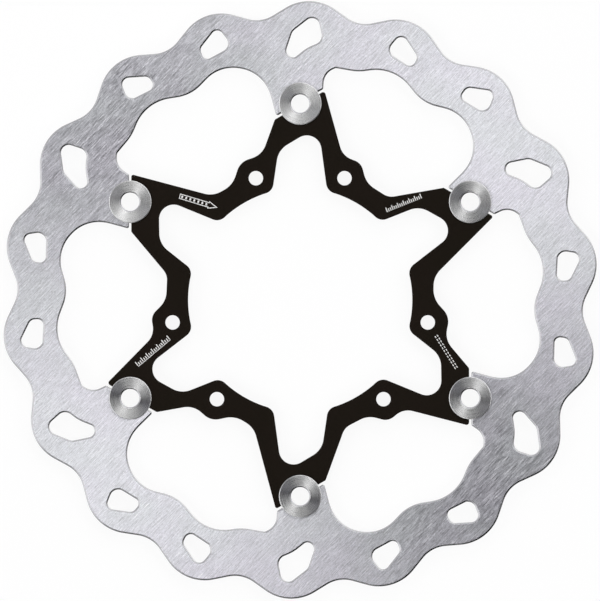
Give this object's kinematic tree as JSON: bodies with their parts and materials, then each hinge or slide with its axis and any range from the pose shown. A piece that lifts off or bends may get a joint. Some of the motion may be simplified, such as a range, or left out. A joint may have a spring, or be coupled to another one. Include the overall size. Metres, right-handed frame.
{
  "type": "brake disc rotor",
  "caption": "Flat motorcycle front brake disc with a wavy, slotted steel friction ring floating on a black star-shaped carrier by flanged drive bobbins.",
  "frame": {"origin": "on the disc's spin axis, in the plane of the bobbins' tails, on which the disc lies with its front up", "axes": "+Z along the spin axis, out of the front of the disc, the side of the bobbin flanges; +Y from the axis towards bobbin_1; +X to the right as the front is seen with +Y up"},
  "size_m": [0.2678, 0.2698, 0.0076],
  "materials": {
    "friction_steel": "ground stainless steel with a fine straight grain",
    "carrier_black": "matte black hard-anodised aluminium plate",
    "turned_steel": "fine-turned steel",
    "spring_steel": "oiled dark spring steel",
    "washer_plate": "satin zinc plate"
  },
  "bodies": {
    "carrier": {"carrier": "carrier_black"},
    "ring": {"brake_ring": "friction_steel"},
    "bobbin_1": {"bobbin_1": "turned_steel", "wave_washer_1": "spring_steel", "flat_washer_1": "washer_plate", "circlip_1": "spring_steel"},
    "bobbin_2": {"bobbin_2": "turned_steel", "wave_washer_2": "spring_steel", "flat_washer_2": "washer_plate", "circlip_2": "spring_steel"},
    "bobbin_3": {"bobbin_3": "turned_steel", "wave_washer_3": "spring_steel", "flat_washer_3": "washer_plate", "circlip_3": "spring_steel"},
    "bobbin_4": {"bobbin_4": "turned_steel", "wave_washer_4": "spring_steel", "flat_washer_4": "washer_plate", "circlip_4": "spring_steel"},
    "bobbin_5": {"bobbin_5": "turned_steel", "wave_washer_5": "spring_steel", "flat_washer_5": "washer_plate", "circlip_5": "spring_steel"},
    "bobbin_6": {"bobbin_6": "turned_steel", "wave_washer_6": "spring_steel", "flat_washer_6": "washer_plate", "circlip_6": "spring_steel"}
  },
  "joints": [
    {"name": "ring_float", "type": "slide", "parent": "carrier", "child": "ring", "axis": [0, 0, 1], "range_m": [-0.0002, 0], "stiffness_N_per_m": 10000, "springref_m": 0.0015},
    {"name": "bobbin_1_spin", "type": "hinge", "parent": "carrier", "child": "bobbin_1", "pos_m": [0, 0.08865, 0.0038], "axis": [0, 0, 1], "continuous": true},
    {"name": "bobbin_2_spin", "type": "hinge", "parent": "carrier", "child": "bobbin_2", "pos_m": [0.07677, 0.04433, 0.0038], "axis": [0, 0, 1], "continuous": true},
    {"name": "bobbin_3_spin", "type": "hinge", "parent": "carrier", "child": "bobbin_3", "pos_m": [0.07677, -0.04433, 0.0038], "axis": [0, 0, 1], "continuous": true},
    {"name": "bobbin_4_spin", "type": "hinge", "parent": "carrier", "child": "bobbin_4", "pos_m": [0, -0.08865, 0.0038], "axis": [0, 0, 1], "continuous": true},
    {"name": "bobbin_5_spin", "type": "hinge", "parent": "carrier", "child": "bobbin_5", "pos_m": [-0.07677, -0.04433, 0.0038], "axis": [0, 0, 1], "continuous": true},
    {"name": "bobbin_6_spin", "type": "hinge", "parent": "carrier", "child": "bobbin_6", "pos_m": [-0.07677, 0.04433, 0.0038], "axis": [0, 0, 1], "continuous": true}
  ]
}
